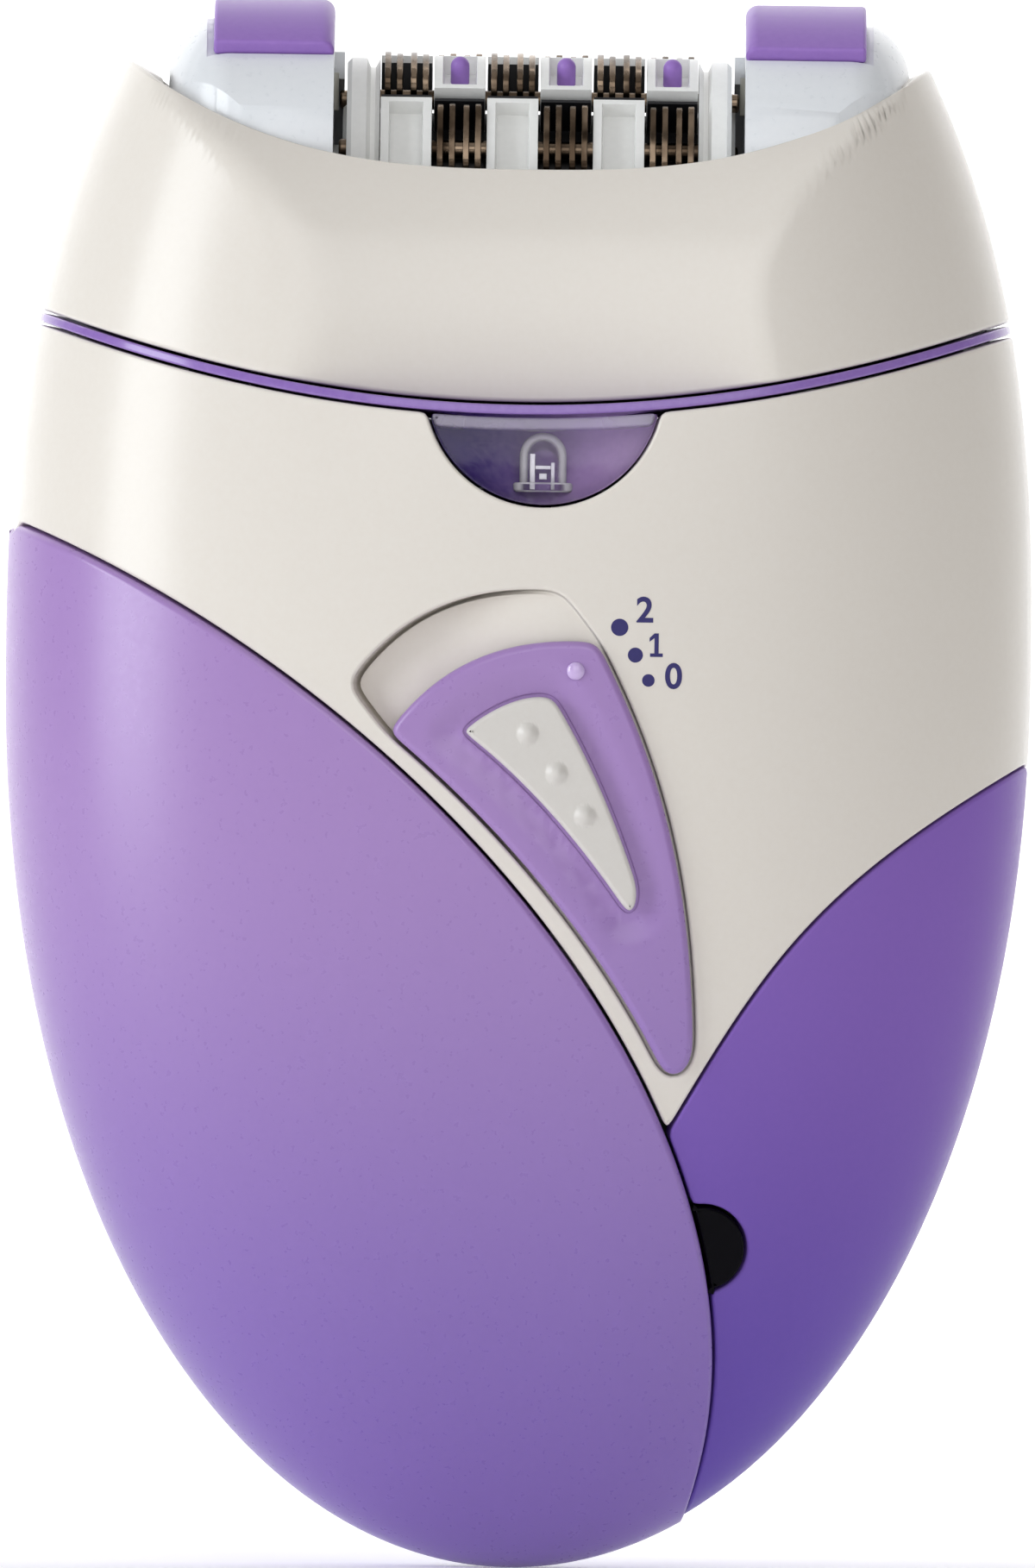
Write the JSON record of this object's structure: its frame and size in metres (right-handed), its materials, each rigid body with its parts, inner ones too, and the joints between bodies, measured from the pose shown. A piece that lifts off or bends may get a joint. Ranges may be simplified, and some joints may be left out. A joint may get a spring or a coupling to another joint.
{
  "type": "epilator",
  "caption": "hand-held corded epilator with an egg-shaped two-tone body, lift-off tweezer-drum head, geared motor drive, speed slider and skin light",
  "frame": {"origin": "bottom tip of the body, on the body centre line", "axes": "+Z from the bottom tip up through the tweezer head, +X to the right seen from the front, front face towards -Y"},
  "size_m": [0.0655, 0.0372, 0.1003],
  "materials": {
    "ivory_plastic": "pearl gloss",
    "purple_plastic": "pearl gloss",
    "purple_rubber": "satin",
    "purple_reflector": "gloss",
    "clear_plastic": "clear",
    "led_lens": "clear",
    "smoked_window": "gloss",
    "grey_plastic": "satin",
    "black_plastic": "satin",
    "led_chip": "gloss",
    "plated_steel": "plated",
    "bright_steel": "ground",
    "brass": "machined",
    "gear_plastic": "natural acetal",
    "board": "solder mask",
    "capacitor_sleeve": "sleeve",
    "cap_plastic": "gloss",
    "drum_plastic": "gloss",
    "tweezer_steel": "stamped"
  },
  "bodies": {
    "housing": {"upper_shell": "ivory_plastic", "front_cover": "purple_plastic", "rear_cover": "purple_plastic", "deck_ring": "purple_plastic", "light_reflector": "purple_reflector", "light_cover": "clear_plastic", "led": "led_lens", "slide_switch": "black_plastic", "indicator_window": "smoked_window", "indicator_led": "led_chip", "chassis": "grey_plastic", "motor_can": "plated_steel", "motor_end_cap": "black_plastic", "stepped_gear_pin": "bright_steel", "circuit_board": "board", "board_chips": "black_plastic", "board_capacitors": "capacitor_sleeve", "dc_socket": "black_plastic", "dc_pin": "plated_steel", "case_screws": "plated_steel", "label_plate": "grey_plastic", "motor_terminals": "brass"},
    "switch": {"switch_slider": "purple_plastic", "switch_pad": "ivory_plastic", "switch_carrier": "grey_plastic"},
    "rotor": {"motor_shaft": "bright_steel", "motor_pinion": "brass"},
    "stepped_gear": {"stepped_gear": "gear_plastic"},
    "head": {"head_shell": "ivory_plastic", "head_base": "grey_plastic", "head_frame": "grey_plastic", "drum_tray": "cap_plastic", "side_cap_left": "cap_plastic", "side_cap_right": "cap_plastic", "massage_strip_left": "purple_rubber", "massage_strip_right": "purple_rubber", "drum_axle": "bright_steel", "roller_pins": "bright_steel", "idler_pin": "bright_steel"},
    "roller_left": {"roller_left": "gear_plastic"},
    "roller_right": {"roller_right": "gear_plastic"},
    "idler_gear": {"idler_gear": "gear_plastic"},
    "drum": {"drum_core": "drum_plastic", "drum_gear": "gear_plastic", "fixed_tweezers": "tweezer_steel", "drum_domes": "purple_rubber"},
    "row_1": {"closing_row_1": "tweezer_steel"},
    "row_2": {"closing_row_2": "tweezer_steel"},
    "row_3": {"closing_row_3": "tweezer_steel"},
    "row_4": {"closing_row_4": "tweezer_steel"},
    "row_5": {"closing_row_5": "tweezer_steel"},
    "row_6": {"closing_row_6": "tweezer_steel"},
    "row_7": {"closing_row_7": "tweezer_steel"},
    "row_8": {"closing_row_8": "tweezer_steel"}
  },
  "joints": [
    {"name": "head_release", "type": "slide", "parent": "housing", "child": "head", "axis": [0, 0, 1], "range_m": [0, 0.045]},
    {"name": "drum_spin", "type": "hinge", "parent": "head", "child": "drum", "pos_m": [0.0007, 0, 0.0884], "axis": [1, 0, 0], "continuous": true},
    {"name": "idler_spin", "type": "hinge", "parent": "head", "child": "idler_gear", "pos_m": [-0.0192, 0, 0.077], "axis": [1, 0, 0], "continuous": true},
    {"name": "stepped_gear_spin", "type": "hinge", "parent": "housing", "child": "stepped_gear", "pos_m": [-0.0175, 0, 0.0674], "axis": [1, 0, 0], "continuous": true},
    {"name": "rotor_spin", "type": "hinge", "parent": "housing", "child": "rotor", "pos_m": [0, 0, 0.0572], "axis": [1, 0, 0], "continuous": true},
    {"name": "roller_left_spin", "type": "hinge", "parent": "head", "child": "roller_left", "pos_m": [-0.01475, 0, 0.0944], "axis": [0, 0, 1], "continuous": true},
    {"name": "roller_right_spin", "type": "hinge", "parent": "head", "child": "roller_right", "pos_m": [0.01615, 0, 0.0944], "axis": [0, 0, 1], "continuous": true},
    {"name": "switch_slide", "type": "slide", "parent": "housing", "child": "switch", "axis": [-0.6203, -0.078, 0.7804], "range_m": [0, 0.0039]},
    {"name": "row_1_close", "type": "slide", "parent": "drum", "child": "row_1", "axis": [1, 0, 0], "range_m": [0, 0.00034], "stiffness_N_per_m": 400},
    {"name": "row_2_close", "type": "slide", "parent": "drum", "child": "row_2", "axis": [-1, 0, 0], "range_m": [0, 0.00034], "stiffness_N_per_m": 400},
    {"name": "row_3_close", "type": "slide", "parent": "drum", "child": "row_3", "axis": [1, 0, 0], "range_m": [0, 0.00034], "stiffness_N_per_m": 400},
    {"name": "row_4_close", "type": "slide", "parent": "drum", "child": "row_4", "axis": [-1, 0, 0], "range_m": [0, 0.00034], "stiffness_N_per_m": 400},
    {"name": "row_5_close", "type": "slide", "parent": "drum", "child": "row_5", "axis": [1, 0, 0], "range_m": [0, 0.00034], "stiffness_N_per_m": 400},
    {"name": "row_6_close", "type": "slide", "parent": "drum", "child": "row_6", "axis": [-1, 0, 0], "range_m": [0, 0.00034], "stiffness_N_per_m": 400},
    {"name": "row_7_close", "type": "slide", "parent": "drum", "child": "row_7", "axis": [1, 0, 0], "range_m": [0, 0.00034], "stiffness_N_per_m": 400},
    {"name": "row_8_close", "type": "slide", "parent": "drum", "child": "row_8", "axis": [-1, 0, 0], "range_m": [0, 0.00034], "stiffness_N_per_m": 400}
  ],
  "couplings": [
    {"joint": "idler_spin", "follows": "drum_spin", "ratio": -1.375},
    {"joint": "stepped_gear_spin", "follows": "drum_spin", "ratio": 1.375},
    {"joint": "rotor_spin", "follows": "drum_spin", "ratio": -3.3}
  ]
}
